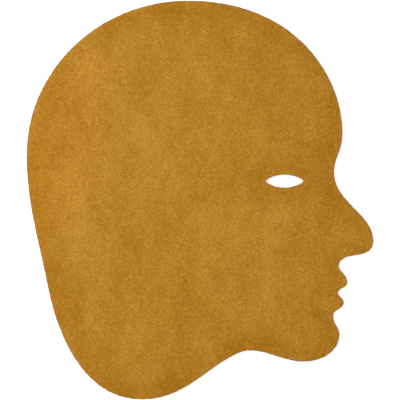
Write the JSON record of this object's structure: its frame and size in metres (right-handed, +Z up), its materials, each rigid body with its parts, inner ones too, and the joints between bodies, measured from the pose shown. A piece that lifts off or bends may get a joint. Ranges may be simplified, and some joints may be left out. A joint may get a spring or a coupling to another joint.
{
  "type": "head silhouette rug",
  "caption": "Flat tufted rug of short cut pile, in the outline of a head in profile, with an almond eye cut right through.",
  "frame": {"origin": "on the floor under the middle of the rug's box", "axes": "+Z up out of the pile, +Y towards the crown of the head, +X towards the nose"},
  "size_m": [1.6, 1.84, 0.015],
  "materials": {
    "pile": "mustard-ochre cut wool pile, sheared level"
  },
  "bodies": {
    "root": {"rug": "pile"}
  },
  "joints": []
}
